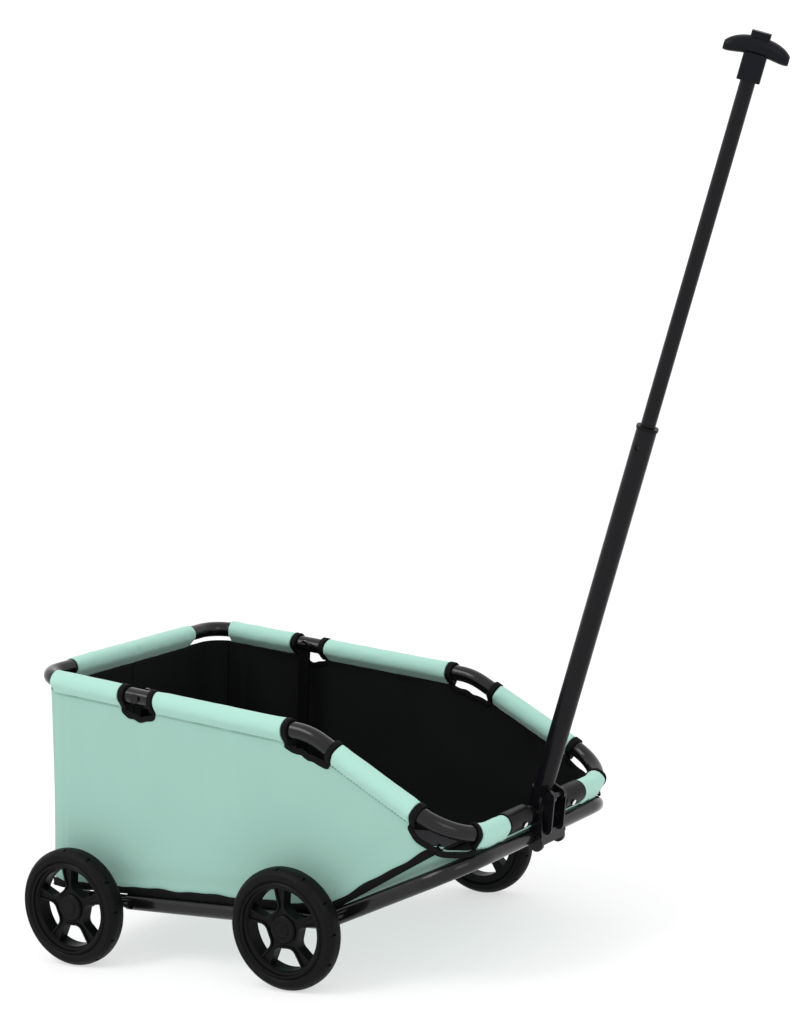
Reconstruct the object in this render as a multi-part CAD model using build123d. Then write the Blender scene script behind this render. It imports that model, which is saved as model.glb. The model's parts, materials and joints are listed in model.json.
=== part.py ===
from build123d import *
import os
from math import cos, radians, sin

# A small folding pull cart: a fabric basket hung on a bent rim tube, over a
# tube base with four wheels, pulled by a two-stage handle with a T grip.
# Millimetres. +X is forward (the handle's end), +Y is left, +Z is up. The
# model is drawn with X = 0 at the front axle, and is moved at the end so
# that the origin lies on the ground under the middle of its length.

# ---------------------------------------------------------------- dimensions
WHEEL_R = 62.5
WHEEL_W = 25.0
WHEELBASE = 275.0
WHEEL_FACE_Y = 203.0          # outer face of each wheel, from the middle plane

TUBE_R = 8.5                  # rim tube and front base tube
REAR_TUBE_R = 7.0             # rear base tube, slid into the front one
WALL = 1.3
HALF_W = 156.0                # tube centre line, from the middle plane
AXLE_R = 4.0
RUN = 0.05                    # radial running clearance

BASE_KINK = (24.0, 62.5)      # x, z where the base tube starts to climb
BASE_FRONT = (188.0, 128.5)   # x, z of the lower front cross tube
BASE_REAR_X = -320.0
TUBE_JOINT_X = -228.0         # rear end of the front base tube
JOINT_LAP = 30.0
RIM_FRONT = (190.5, 152.5)
RIM_KINK = (24.0, 253.5)
RIM_REAR = (-323.0, 301.5)
CORNER_R = 52.0
REAR_CORNER_R = 30.0
KINK_R = 70.0

SLEEVE_IN = TUBE_R + 0.1
SLEEVE_OUT = TUBE_R + 1.4
COLLAR_OUT = TUBE_R + 2.3
FITTING_R = 11.5
FITTING_Y = (36.0, 76.0)
FITTING_FLOOR = 8.0           # solid length at the fitting's inner end
NECK_R = 7.0
STUB_R = 4.0
SCREW_OFF_Y = 13.5            # from the fitting's inner end
SCREW_DIP = 27.0              # degrees below level
SCREW_R = 3.4
CUT_OUT_X = (-211.0, -165.0)  # gap in the side sleeve round the stay rivet
STAY_TOP = (-189.0, 283.0)
STAY_FOOT = (-217.5, 62.5)
STAY_Y = (142.0, 145.0)

CLOTH = 2.4
PANEL_Y = 160.0               # outer face of the side panels
FLOOR_Z = 74.0
SLIT_X = (-242.0, -50.0)      # slits in the floor, which the stays fold into
SLIT_W = 8.0
BOARD_T = 4.0
BOARD_HALF_W = 138.0

CHEEK_X = 196.0
CHEEK_Z = (120.0, 146.0)
CHEEK_R = 7.5
CHEEK_Y = (19.8, 23.4)
SADDLE_R = 10.0
HINGE_BOSS_R = 6.5
BOLT = (200.2, 125.6)         # x, z of the bracket bolt
WEB_X = (197.0, 203.4)        # the clevis's web, between its ears
WEB_Z = (119.0, 132.0)
PIVOT = (209.0, 166.0)        # x, z of the handle hinge
CLEVIS_Y = (11.2, 13.4)
HANDLE_LEAN = 21.76           # degrees forward of vertical
HANDLE_BASE = (186.5, 151.0)  # x, z of the handle axis where s = 0
OUTER_R = 10.2
OUTER_SPAN = (5.0, 412.0)     # distances along the handle axis
INNER_R = 7.3
INNER_SPAN = (365.0, 770.0)
LOCK_S = 394.0
SOCKET_SPAN = (757.0, 783.0)
GRIP_S = 790.0

GRIP_TURN = 22.0              # degrees from forward, about the handle axis
GRIP_HALF = 31.0              # half the length of its bar
GRIP_W = 21.0
GRIP_H = 17.0
GRIP_DROOP = 6.5
GRIP_TAPER = 0.93
SOCKET_SIZE = (22.0, 17.0, 3.0)  # along the bar, across it, corner radius
BUTTON_TRAVEL = 4.0
BUTTON_TOP = 13.0             # above GRIP_S
LOCK_R = 2.8
LOCK_HEAD_Y = (2.6, 4.9)      # its flange, inside the inner tube
LOCK_TIP_Y = 8.45             # drawn just clear of the outer tube's bore
ROD_HOLE_R = 2.2
FOOT_R = 10.9
FOOT_SPAN = (3.0, 24.0)
FOOT_RIVET_S = 16.0
LUG_Y = (8.0, 10.85)
LUG_R = 6.0
LUG_END = (24.0, 6.0)         # along the handle axis, and forward of it
EAR_R = 6.0
EAR_FOOT = (203.2, 134.0)     # x, z where the ears leave the web

BOARD_X = (-312.0, 22.0)
STAY_R = 7.0
BOLT_R = 2.2
PIN_R = 3.0
RIVET_R = 2.5


# ------------------------------------------------------------------- helpers
def rod(start, end, radius):
    """A solid cylinder from one point to another."""
    start, end = Vector(*start), Vector(*end)
    reach = end - start
    plane = Plane(origin=start, z_dir=reach.normalized())
    return extrude(plane * Circle(radius), amount=reach.length)


def ring(start, end, inner, outer):
    """A hollow cylinder from one point to another."""
    return rod(start, end, outer) - rod(start, end, inner)


def bent_tube(points, radii, outer, wall):
    """A hollow tube along straight runs with rounded corners."""
    path = FilletPolyline(*points, radius=radii)
    plane = Plane(origin=path @ 0, z_dir=path % 0)
    return sweep(plane * (Circle(outer) - Circle(outer - wall)), path=path)


def side_plate(points, low_y, high_y):
    """A flat plate with an outline in X and Z."""
    outline = Polyline(*[(x, 0, z) for x, z in points], close=True)
    plate = extrude(make_face(outline), amount=1, dir=(0, 1, 0))
    plate = scale(plate, by=(1, high_y - low_y, 1))
    return Pos(0, low_y, 0) * plate


def capsule(a, b, radius, low_y, high_y):
    """A round-ended bar between two X, Z points."""
    ends = [rod((x, low_y, z), (x, high_y, z), radius) for x, z in (a, b)]
    reach = (Vector(b[0], 0, b[1]) - Vector(a[0], 0, a[1])).normalized()
    across = Vector(-reach.Z, 0, reach.X) * radius
    corners = [
        (a[0] + across.X, a[1] + across.Z),
        (b[0] + across.X, b[1] + across.Z),
        (b[0] - across.X, b[1] - across.Z),
        (a[0] - across.X, a[1] - across.Z),
    ]
    return side_plate(corners, low_y, high_y) + ends[0] + ends[1]


def mirrored(shape):
    """The same piece on the other side of the middle plane."""
    return mirror(shape, about=Plane.XZ)


def both(shape):
    """A piece and its mirror image, as separate solids."""
    return Compound([*shape.solids(), *mirrored(shape).solids()])


def along(s, offset=0.0, y=0.0):
    """A point at distance s up the handle axis, offset forward of it."""
    lean = radians(HANDLE_LEAN)
    x = HANDLE_BASE[0] + s * sin(lean) + offset * cos(lean)
    z = HANDLE_BASE[1] + s * cos(lean) - offset * sin(lean)
    return (x, y, z)


def handle_plane(s):
    """A plane across the handle, its x axis pointing forward."""
    lean = radians(HANDLE_LEAN)
    return Plane(
        origin=along(s),
        x_dir=(cos(lean), 0, -sin(lean)),
        z_dir=(sin(lean), 0, cos(lean)),
    )


def on_rim(x, side=1):
    """A point on the rim's side tube at a given x, clear of its bends."""
    if x < RIM_KINK[0]:
        a, b = RIM_REAR, RIM_KINK
    else:
        a, b = RIM_KINK, RIM_FRONT
    part = (x - a[0]) / (b[0] - a[0])
    return (x, side * HALF_W, a[1] + part * (b[1] - a[1]))


# -------------------------------------------------------------------- wheels
WINDOW_IN = (19.0, 10.0)      # radius and half width of a window's inner end
WINDOW_OUT_W = 19.0
WINDOW_FILLET = 8.5
TREAD_BLOCKS = 12
GROOVE = (2.0, 9.0, 2.2)      # depth, length across the tread, width
GROOVE_OFF_Y = 7.5            # from the middle of the tread
HUB_R = 13.0
HUB_TOP_Y = 198.0
CAP_TOP_Y = 198.6
CAP_R = 8.5
RIM_SEAT_R = 49.5
RING_IN_R = 41.5
SPOKES = 5
HUB_IN_Y = 172.0
WEB_Y = (184.0, 194.5)
RIB_TOP_Y = 196.5
RIB_W = 1.8
NUT_Y = (190.5, 193.1)
NUT_R = 7.2
SPACER_R = 8.0


def window_face():
    """One opening between two spokes, rounded towards the hub."""
    inner_x, inner_w = WINDOW_IN
    outer_w = WINDOW_OUT_W
    outer_x = (RING_IN_R ** 2 - outer_w ** 2) ** 0.5
    sides = [
        Line((outer_x, outer_w), (inner_x, inner_w)),
        Line((inner_x, inner_w), (inner_x, -inner_w)),
        Line((inner_x, -inner_w), (outer_x, -outer_w)),
        ThreePointArc((outer_x, -outer_w), (RING_IN_R, 0), (outer_x, outer_w)),
    ]
    face = make_face(sides)
    return fillet(face.vertices().sort_by(Axis.X)[:2], WINDOW_FILLET)


def wheel_rim():
    """Hub, five ribbed spokes and the stepped ring that carries the tyre."""
    ring_profile = Polyline(
        (RING_IN_R, 181.0), (RIM_SEAT_R, 181.0), (RIM_SEAT_R, 200.5), (47.6, 202.2),
        (46.0, 202.2), (45.2, 199.0), (43.0, 198.2), (RING_IN_R, 195.5), close=True)
    hub_profile = Polyline(
        (AXLE_R + RUN, HUB_IN_Y), (9.0, HUB_IN_Y), (HUB_R + 1.5, WEB_Y[0]),
        (HUB_R + 1.5, HUB_TOP_Y - 1.5), (HUB_R, HUB_TOP_Y), (CAP_R, HUB_TOP_Y),
        (CAP_R, NUT_Y[0] - 0.4), (AXLE_R + RUN, NUT_Y[0] - 0.4), close=True)
    body = revolve(Plane.XY * make_face(ring_profile), axis=Axis.Y)
    body += revolve(Plane.XY * make_face(hub_profile), axis=Axis.Y)
    web = Circle(RING_IN_R + 1.0) - Circle(AXLE_R + RUN)
    face_plane = Plane(origin=(0, WEB_Y[0], 0), x_dir=(0, 0, 1), z_dir=(0, 1, 0))
    body += extrude(face_plane * web, amount=WEB_Y[1] - WEB_Y[0])
    window = window_face()
    rim_line = offset(window, RIB_W) - window
    for i in range(SPOKES):
        turn = Rot(0, (i + 0.5) * 360 / SPOKES, 0)
        body -= turn * extrude(face_plane * window, amount=WEB_Y[1] - WEB_Y[0] + 10)
        rib_line = rim_line & Circle(RING_IN_R + 0.5)
        body += turn * extrude(face_plane * rib_line, amount=RIB_TOP_Y - WEB_Y[0])
    return body - rod((0, NUT_Y[0] - 0.4, 0), (0, WHEEL_FACE_Y, 0), CAP_R)


def tyre():
    """A solid tyre with rounded shoulders and shallow blocks across the tread."""
    low_y = WHEEL_FACE_Y - WHEEL_W
    profile = make_face([
        Line((RIM_SEAT_R, 182.0), (RIM_SEAT_R, 200.4)),
        Line((RIM_SEAT_R, 200.4), (52.0, WHEEL_FACE_Y - 0.6)),
        Line((52.0, WHEEL_FACE_Y - 0.6), (57.0, WHEEL_FACE_Y - 1.0)),
        ThreePointArc((57.0, WHEEL_FACE_Y - 1.0), (61.0, 198.0), (WHEEL_R, 193.0)),
        Line((WHEEL_R, 193.0), (WHEEL_R, 188.0)),
        ThreePointArc((WHEEL_R, 188.0), (61.0, 183.0), (57.0, low_y + 1.0)),
        Line((57.0, low_y + 1.0), (52.0, low_y + 0.6)),
        Line((52.0, low_y + 0.6), (RIM_SEAT_R, 182.0)),
    ])
    body = revolve(profile, axis=Axis.Y)
    middle_y = WHEEL_FACE_Y - WHEEL_W / 2
    depth, length, width = GROOVE
    groove = Box(2 * depth, length, width)
    for i in range(TREAD_BLOCKS):
        for share, off_y in ((0.0, GROOVE_OFF_Y), (0.5, -GROOVE_OFF_Y)):
            turn = Rot(0, (i + share) * 360 / TREAD_BLOCKS, 0)
            body -= turn * Pos(WHEEL_R, middle_y + off_y, 0) * groove
    return body


def hub_cap():
    """The small domed cap that snaps into the hub over the axle's nut."""
    cap = rod((0, NUT_Y[1] + 0.6, 0), (0, CAP_TOP_Y, 0), CAP_R - RUN)
    return fillet(cap.edges().sort_by(Axis.Y)[-1], 1.4)


def axle(x):
    """A plain steel axle through both rails."""
    return rod((x, -NUT_Y[1], WHEEL_R), (x, NUT_Y[1], WHEEL_R), AXLE_R)


def axle_nuts():
    """Four push-on nuts at the ends of the axles."""
    nuts = []
    for x in (0.0, -WHEELBASE):
        nuts += [ring((x, NUT_Y[0], WHEEL_R), (x, NUT_Y[1], WHEEL_R), AXLE_R, NUT_R)]
    return both(Compound(nuts))


def axle_spacers():
    """Four spacers between the rails and the wheel hubs."""
    outer_y = HUB_IN_Y - 0.4
    inner_y = HALF_W + TUBE_R + 0.2
    front = ring((0, inner_y, WHEEL_R), (0, outer_y, WHEEL_R), AXLE_R, SPACER_R)
    inner_y = HALF_W + REAR_TUBE_R + 0.2
    x = -WHEELBASE
    rear = ring((x, inner_y, WHEEL_R), (x, outer_y, WHEEL_R), AXLE_R, SPACER_R)
    return both(Compound([front, rear]))


# ---------------------------------------------------------------------- base
def base_front_tube():
    """The front base tube: two rails that climb to a cross tube in front."""
    half = [
        (TUBE_JOINT_X, HALF_W, BASE_KINK[1]),
        (BASE_KINK[0], HALF_W, BASE_KINK[1]),
        (BASE_FRONT[0], HALF_W, BASE_FRONT[1]),
    ]
    points = half + [(x, -y, z) for x, y, z in reversed(half)]
    body = bent_tube(points, [KINK_R, CORNER_R, CORNER_R, KINK_R], TUBE_R, WALL)
    for x in (0.0, STAY_FOOT[0]):
        body -= rod((x, -HALF_W - 20, WHEEL_R), (x, HALF_W + 20, WHEEL_R), AXLE_R)
    return body


def base_rear_tube():
    """The rear base tube, slid into the open ends of the front one."""
    joint = TUBE_JOINT_X + JOINT_LAP
    points = [
        (joint, HALF_W, BASE_KINK[1]),
        (BASE_REAR_X, HALF_W, BASE_KINK[1]),
        (BASE_REAR_X, -HALF_W, BASE_KINK[1]),
        (joint, -HALF_W, BASE_KINK[1]),
    ]
    body = bent_tube(points, [REAR_CORNER_R, REAR_CORNER_R], REAR_TUBE_R, WALL)
    for x in (-WHEELBASE, STAY_FOOT[0]):
        body -= rod((x, -HALF_W - 20, WHEEL_R), (x, HALF_W + 20, WHEEL_R), AXLE_R)
    return body


def stay_rivets():
    """Two rivets through the rails that carry the stays' lower ends."""
    x, z = STAY_FOOT
    outer = HALF_W + TUBE_R
    rivet = rod((x, STAY_Y[0] - 2.0, z), (x, outer + 0.2, z), AXLE_R - 0.05)
    rivet += rod((x, outer + 0.2, z), (x, outer + 2.2, z), 5.0)
    rivet += rod((x, STAY_Y[0] - 2.0, z), (x, STAY_Y[0] - 0.4, z), 6.0)
    return both(rivet)


def stay(side):
    """A flat steel stay that props the rim, in a slit of the basket."""
    low_y, high_y = STAY_Y
    bar = capsule(STAY_FOOT, STAY_TOP, STAY_R, low_y, high_y)
    bar -= rod((STAY_FOOT[0], 100, STAY_FOOT[1]), (STAY_FOOT[0], 200, STAY_FOOT[1]), AXLE_R)
    notch = (STAY_TOP[0], STAY_TOP[1])
    bar -= capsule(notch, (notch[0] - 12.0, notch[1] + 2.0), 4.5, low_y - 1, high_y + 1)
    return bar if side > 0 else mirrored(bar)


def cheek(side):
    """One cheek of the front bracket: a round-ended plate on a saddle."""
    low_y, high_y = CHEEK_Y
    plate = capsule((CHEEK_X, CHEEK_Z[0]), (CHEEK_X, CHEEK_Z[1]), CHEEK_R, low_y, high_y)
    plate += capsule(BASE_FRONT, (CHEEK_X - 4.0, BASE_FRONT[1]), SADDLE_R, low_y, high_y)
    plate += capsule(RIM_FRONT, (CHEEK_X, CHEEK_Z[1]), HINGE_BOSS_R, low_y, high_y)
    for (x, z), radius in ((BASE_FRONT, TUBE_R), (RIM_FRONT, STUB_R + RUN), (BOLT, BOLT_R)):
        plate -= rod((x, 0, z), (x, HALF_W, z), radius)
    return plate if side > 0 else mirrored(plate)


def bracket_bolt():
    """The bolt that ties the cheeks and the clevis together."""
    x, z = BOLT
    body = rod((x, -CHEEK_Y[1], z), (x, CHEEK_Y[1], z), BOLT_R)
    for head in both(rod((x, CHEEK_Y[1], z), (x, CHEEK_Y[1] + 1.6, z), BOLT_R + 1.4)).solids():
        body += head
    return body


def handle_clevis():
    """Two leaning ears on a web, held between the cheeks."""
    ear = capsule(EAR_FOOT, PIVOT, EAR_R, *CLEVIS_Y)
    web = Box(WEB_X[1] - WEB_X[0], 2 * CHEEK_Y[0] - 0.4, WEB_Z[1] - WEB_Z[0])
    body = Pos(sum(WEB_X) / 2, 0, sum(WEB_Z) / 2) * web + ear + mirrored(ear)
    for (x, z), radius in ((BOLT, BOLT_R), (PIVOT, PIN_R)):
        body -= rod((x, -HALF_W, z), (x, HALF_W, z), radius)
    return body


def handle_pin():
    """The hinge pin of the handle, with a flat head at each end."""
    x, z = PIVOT
    body = rod((x, -CLEVIS_Y[1], z), (x, CLEVIS_Y[1], z), PIN_R)
    for head in both(rod((x, CLEVIS_Y[1], z), (x, CLEVIS_Y[1] + 2.0, z), 4.6)).solids():
        body += head
    return body


def floor_board():
    """The stiff board that lies on the basket's floor."""
    board = Box(BOARD_X[1] - BOARD_X[0], 2 * BOARD_HALF_W, BOARD_T)
    board = fillet(board.edges().filter_by(Axis.Z), 12.0)
    return Pos(sum(BOARD_X) / 2, 0, FLOOR_Z + CLOTH + BOARD_T / 2) * board


# -------------------------------------------------------------------- basket
def basket_side(side):
    """One side panel, hanging under the rim tube."""
    outline = [
        (-333.0, FLOOR_Z - 2.5), (30.0, FLOOR_Z - 2.5), (168.0, 146.0), (160.0, 158.5),
        (20.0, 243.0), (-304.0, 288.0)]
    panel = side_plate(outline, PANEL_Y - CLOTH, PANEL_Y)
    return panel if side > 0 else mirrored(panel)


def basket_floor():
    """The floor cloth, slit where the stays pass through it."""
    half = PANEL_Y - CLOTH
    panel = Pos(-150.0, 0, FLOOR_Z + CLOTH / 2) * Box(360.0, 2 * half, CLOTH)
    length = SLIT_X[1] - SLIT_X[0]
    slit = Pos(sum(SLIT_X) / 2, sum(STAY_Y) / 2, FLOOR_Z) * Box(length, SLIT_W, 6 * CLOTH)
    return panel - slit - mirrored(slit)


def cross_panel(start, end):
    """A panel that spans the cart between two X, Z points."""
    reach = (Vector(end[0], 0, end[1]) - Vector(start[0], 0, start[1])).normalized()
    thick = Vector(-reach.Z, 0, reach.X) * CLOTH
    corners = [start, end, (end[0] + thick.X, end[1] + thick.Z),
               (start[0] + thick.X, start[1] + thick.Z)]
    half = PANEL_Y - CLOTH - 0.1
    return side_plate(corners, -half, half)


def basket_rear():
    """The rear panel, hanging under the rim's rear tube."""
    return cross_panel((-332.6, FLOOR_Z), (-306.0, 287.0))


def basket_front():
    """The front panel, which climbs from the floor to the rim's front tube."""
    return cross_panel((31.0, 79.0), (176.0, 140.5))


# ----------------------------------------------------------------------- rim
def rim_tube():
    """The bent rim: a loop whose two ends meet at the front bracket."""
    half = [
        (RIM_FRONT[0], FITTING_Y[0] + FITTING_FLOOR, RIM_FRONT[1]),
        (RIM_FRONT[0], HALF_W, RIM_FRONT[1]),
        (RIM_KINK[0], HALF_W, RIM_KINK[1]),
        (RIM_REAR[0], HALF_W, RIM_REAR[1]),
    ]
    points = half + [(x, -y, z) for x, y, z in reversed(half)]
    radii = [CORNER_R, KINK_R, REAR_CORNER_R]
    body = bent_tube(points, radii + radii[::-1], TUBE_R, WALL)
    x, z = STAY_TOP
    return body - rod((x, -HALF_W - 20, z), (x, HALF_W + 20, z), 3.0)


def rim_fitting(side):
    """The plug over one end of the rim tube, with a stub for its hinge."""
    x, z = RIM_FRONT
    low_y, high_y = FITTING_Y
    body = rod((x, low_y, z), (x, high_y, z), FITTING_R)
    body -= rod((x, low_y + FITTING_FLOOR, z), (x, high_y + 1, z), TUBE_R)
    body += rod((x, CHEEK_Y[1] + 0.4, z), (x, low_y + 1, z), NECK_R)
    body += rod((x, CHEEK_Y[0] - 0.6, z), (x, low_y + 1, z), STUB_R)
    dip = radians(SCREW_DIP)
    reach = FITTING_R + 1.4
    screw_y = low_y + SCREW_OFF_Y
    screw = rod((x, screw_y, z), (x + reach * cos(dip), screw_y, z - reach * sin(dip)), SCREW_R)
    body += screw - rod((x, low_y, z), (x, high_y, z), FITTING_R - 1)
    return body if side > 0 else mirrored(body)


def rim_rivets():
    """Two rivets through the side tubes, for the tops of the stays."""
    x, z = STAY_TOP
    outer = HALF_W + TUBE_R
    rivet = rod((x, HALF_W - TUBE_R - 0.6, z), (x, outer + 0.2, z), 3.0 - RUN)
    rivet += rod((x, outer, z), (x, outer + 2.0, z), 5.2)
    return both(rivet)


def side_sleeves(side):
    """The three stretches of cloth sleeve along one side tube."""
    spans = [(-290.0, CUT_OUT_X[0]), (CUT_OUT_X[1], -6.0), (57.0, 140.0)]
    pieces = [ring(on_rim(a), on_rim(b), SLEEVE_IN, SLEEVE_OUT) for a, b in spans]
    if side < 0:
        pieces = [mirrored(piece) for piece in pieces]
    return Compound(pieces)


def cross_sleeves():
    """The cloth sleeves on the rim's front and rear cross tubes."""
    x, z = RIM_FRONT
    front = ring((x, FITTING_Y[1] + 0.5, z), (x, 98.6, z), SLEEVE_IN, SLEEVE_OUT)
    x, z = RIM_REAR
    reach = HALF_W - REAR_CORNER_R - 2.0
    rear = ring((x, -reach, z), (x, reach, z), SLEEVE_IN, SLEEVE_OUT)
    return Compound([front, mirrored(front), rear])


def collars():
    """Dark bands of binding that end the sleeves beside the bare bends."""
    spans = [(CUT_OUT_X[0] + 0.4, CUT_OUT_X[0] + 9.0), (CUT_OUT_X[1] - 9.0, CUT_OUT_X[1] - 0.4),
             (-5.6, 4.0), (46.0, 56.6), (140.4, 147.0)]
    pieces = [ring(on_rim(a), on_rim(b), SLEEVE_IN, COLLAR_OUT) for a, b in spans]
    x, z = RIM_FRONT
    pieces += [ring((x, 99.0, z), (x, 103.6, z), SLEEVE_IN, COLLAR_OUT)]
    return both(Compound(pieces))


# -------------------------------------------------------------------- handle
def handle_rod(low, high, radius, bore=0.0):
    """A cylinder, or a tube, along the handle axis."""
    section = handle_plane(low) * Circle(radius)
    if bore:
        section -= handle_plane(low) * Circle(bore)
    return extrude(section, amount=high - low)


def handle_foot():
    """The socket round the outer tube's foot, with a lug for the hinge pin."""
    body = handle_rod(*FOOT_SPAN, FOOT_R, OUTER_R)
    lug = capsule(PIVOT, along(*LUG_END)[::2], LUG_R, *LUG_Y)
    body += (lug + mirrored(lug)) - handle_rod(-20.0, 80.0, OUTER_R)
    x, _, z = along(FOOT_RIVET_S)
    body -= rod((x, -40, z), (x, 40, z), RIVET_R)
    return body - rod((PIVOT[0], -40, PIVOT[1]), (PIVOT[0], 40, PIVOT[1]), PIN_R + RUN)


def foot_rivet():
    """The flush rivet that holds the outer tube in its foot."""
    x, _, z = along(FOOT_RIVET_S)
    return rod((x, -FOOT_R + 0.1, z), (x, FOOT_R - 0.1, z), RIVET_R - RUN)


def outer_tube():
    """The lower handle tube, with a hole for the lock pin."""
    body = handle_rod(*OUTER_SPAN, OUTER_R, OUTER_R - 1.2)
    x, _, z = along(LOCK_S)
    body -= rod((x, 0, z), (x, -20, z), LOCK_R + 0.08)
    x, _, z = along(FOOT_RIVET_S)
    return body - rod((x, -20, z), (x, 20, z), RIVET_R)


def tube_bush():
    """The plastic bush pressed into the mouth of the outer tube."""
    top = OUTER_SPAN[1]
    lip = handle_rod(top, top + 3.0, OUTER_R + 0.8, INNER_R + RUN)
    return lip + handle_rod(top - 12.0, top, OUTER_R - 1.2, INNER_R + RUN)


def inner_tube():
    """The upper handle tube, with a hole for the lock pin."""
    body = handle_rod(*INNER_SPAN, INNER_R, INNER_R - 1.1)
    x, _, z = along(LOCK_S)
    return body - rod((x, 0, z), (x, -20, z), LOCK_R + 0.06)


def slide_guide():
    """The ring at the foot of the inner tube that runs in the outer one."""
    body = handle_rod(INNER_SPAN[0] - 6.0, INNER_SPAN[0] + 14.0, OUTER_R - 1.2 - 0.06, INNER_R)
    return body


def lock_pin():
    """The spring-loaded pin that locks the inner tube in the outer one."""
    x, _, z = along(LOCK_S)
    body = rod((x, -LOCK_HEAD_Y[0], z), (x, -LOCK_TIP_Y, z), LOCK_R)
    return body + rod((x, -LOCK_HEAD_Y[0], z), (x, -LOCK_HEAD_Y[1], z), LOCK_R + 0.7)


def grip_plane(s):
    """A plane across the handle, its x axis along the bar of the turned grip."""
    base = handle_plane(s)
    turn = radians(GRIP_TURN)
    x_dir = base.x_dir * cos(turn) + base.y_dir * sin(turn)
    return Plane(origin=base.origin, x_dir=x_dir, z_dir=base.z_dir)


def grip_socket():
    """The square socket that carries the grip on the inner tube."""
    low, high = SOCKET_SPAN
    body = extrude(grip_plane(low) * RectangleRounded(*SOCKET_SIZE), amount=high - low)
    body -= handle_rod(low - 1, high + 1, ROD_HOLE_R)
    return body - handle_rod(low - 1, INNER_SPAN[1], INNER_R)


def grip_section(share):
    """A cross-section of the T grip, from -1 at its rear end to 1 in front."""
    base = grip_plane(GRIP_S)
    fullness = (1 - (GRIP_TAPER * share) ** 4) ** 0.5
    origin = base.from_local_coords((share * GRIP_HALF, 0, -GRIP_DROOP * share ** 2))
    plane = Plane(origin=origin, x_dir=base.y_dir, z_dir=base.x_dir)
    return plane * Ellipse(GRIP_W / 2 * fullness, GRIP_H / 2 * fullness)


def grip():
    """The drooping T grip, recessed for the push button."""
    low, high = SOCKET_SPAN
    body = loft([grip_section(k / 5) for k in range(-5, 6)])
    body -= extrude(grip_plane(GRIP_S) * RectangleRounded(19.0, 13.0, 2.0), amount=GRIP_H)
    body -= handle_rod(low, GRIP_S + 1, ROD_HOLE_R)
    return body - extrude(grip_plane(low) * RectangleRounded(*SOCKET_SIZE), amount=high - low)


def push_button():
    """The release button on top of the grip."""
    section = grip_plane(GRIP_S + BUTTON_TRAVEL + 0.4) * RectangleRounded(18.4, 12.4, 1.8)
    return extrude(section, amount=BUTTON_TOP - BUTTON_TRAVEL - 0.4)


def release_rod():
    """The rod from the button down to the lock pin's wedge."""
    return handle_rod(LOCK_S + 10.0, GRIP_S + BUTTON_TRAVEL + 0.4, 1.8)


# --------------------------------------------------------------------- write
def place_wheel(shape, x, side):
    """A wheel piece, drawn about the Y axis, moved to its axle."""
    placed = Pos(x, 0, WHEEL_R) * shape
    return placed if side > 0 else mirrored(placed)


def build_parts():
    """Every node, in the drawing frame."""
    parts = {
        "base_front_tube": base_front_tube(),
        "base_rear_tube": base_rear_tube(),
        "front_axle": axle(0.0),
        "rear_axle": axle(-WHEELBASE),
        "axle_nuts": axle_nuts(),
        "axle_spacers": axle_spacers(),
        "stay_rivets": stay_rivets(),
        "bracket_bolt": bracket_bolt(),
        "handle_clevis": handle_clevis(),
        "handle_pin": handle_pin(),
        "floor_board": floor_board(),
        "basket_floor": basket_floor(),
        "basket_rear": basket_rear(),
        "basket_front": basket_front(),
        "rim_tube": rim_tube(),
        "rim_rivets": rim_rivets(),
        "rim_cross_sleeves": cross_sleeves(),
        "sleeve_collars": collars(),
        "handle_foot": handle_foot(),
        "foot_rivet": foot_rivet(),
        "handle_outer_tube": outer_tube(),
        "tube_bush": tube_bush(),
        "handle_inner_tube": inner_tube(),
        "slide_guide": slide_guide(),
        "lock_pin": lock_pin(),
        "grip_socket": grip_socket(),
        "grip": grip(),
        "push_button": push_button(),
        "release_rod": release_rod(),
    }
    for name, side in (("left", 1), ("right", -1)):
        parts["stay_" + name] = stay(side)
        parts["bracket_cheek_" + name] = cheek(side)
        parts["basket_side_" + name] = basket_side(side)
        parts["rim_fitting_" + name] = rim_fitting(side)
        parts["rim_side_sleeves_" + name] = side_sleeves(side)
        for end, x in (("front", 0.0), ("rear", -WHEELBASE)):
            place = "_" + end + "_" + name
            parts["wheel_rim" + place] = place_wheel(wheel_rim(), x, side)
            parts["tyre" + place] = place_wheel(tyre(), x, side)
            parts["hub_cap" + place] = place_wheel(hub_cap(), x, side)
    return parts


parts = build_parts()
boxes = [shape.bounding_box() for shape in parts.values()]
middle_x = (min(box.min.X for box in boxes) + max(box.max.X for box in boxes)) / 2
os.makedirs("parts", exist_ok=True)
for name, shape in parts.items():
    solids = [Pos(-middle_x, 0, 0) * solid for solid in shape.solids()]
    moved = solids[0] if len(solids) == 1 else Compound(solids)
    export_step(moved, "parts/" + name + ".step")
print("middle_x", round(middle_x, 3))
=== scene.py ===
import bpy
import json
from math import asin, cos, pi, radians, sin
import numpy as np
from mathutils import Matrix, Vector, noise


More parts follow.
